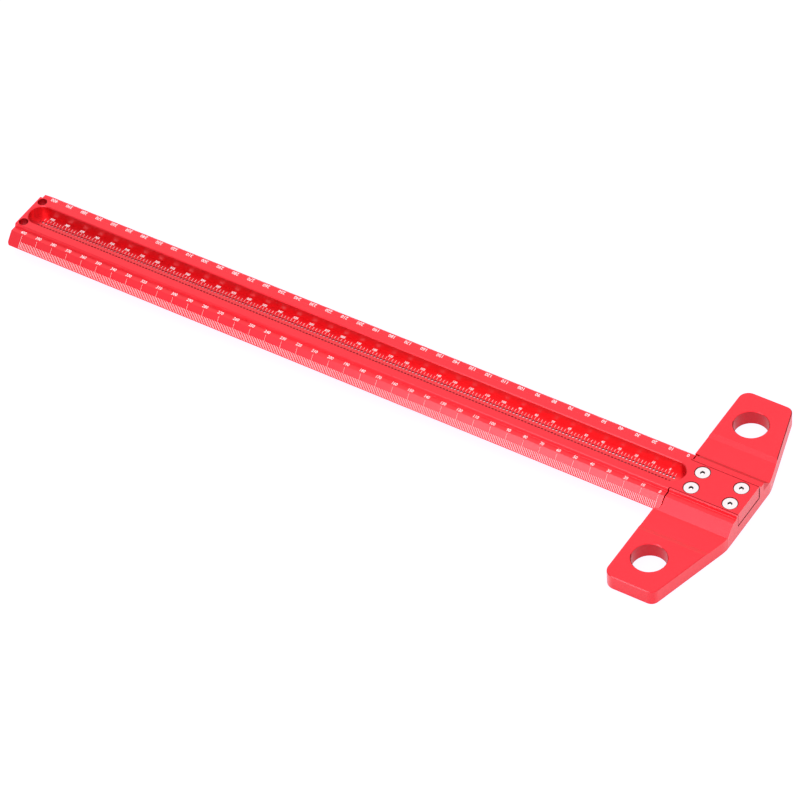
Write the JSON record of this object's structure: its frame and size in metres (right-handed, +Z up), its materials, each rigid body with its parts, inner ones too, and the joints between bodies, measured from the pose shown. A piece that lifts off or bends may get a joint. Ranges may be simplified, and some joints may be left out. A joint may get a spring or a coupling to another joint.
{
  "type": "t-square",
  "caption": "Woodworking T-square: flat bevelled metal ruler with a pencil channel and guide holes, screwed flush into a grooved cross head that rides on a board edge.",
  "frame": {"origin": "zero of the scale: on the centreline, where the head's front face meets the underside of the blade", "axes": "+X along the blade from the head to the tip, +Z up out of the blade's numbered side, +Y across the blade along the head"},
  "size_m": [0.4507, 0.1468, 0.0157],
  "materials": {
    "anodised_blade": "satin",
    "anodised_head": "satin",
    "screw_steel": "polished"
  },
  "bodies": {
    "root": {"blade": "anodised_blade", "head": "anodised_head", "screw_front_far": "screw_steel", "screw_front_near": "screw_steel", "screw_rear_far": "screw_steel", "screw_rear_near": "screw_steel"}
  },
  "joints": []
}
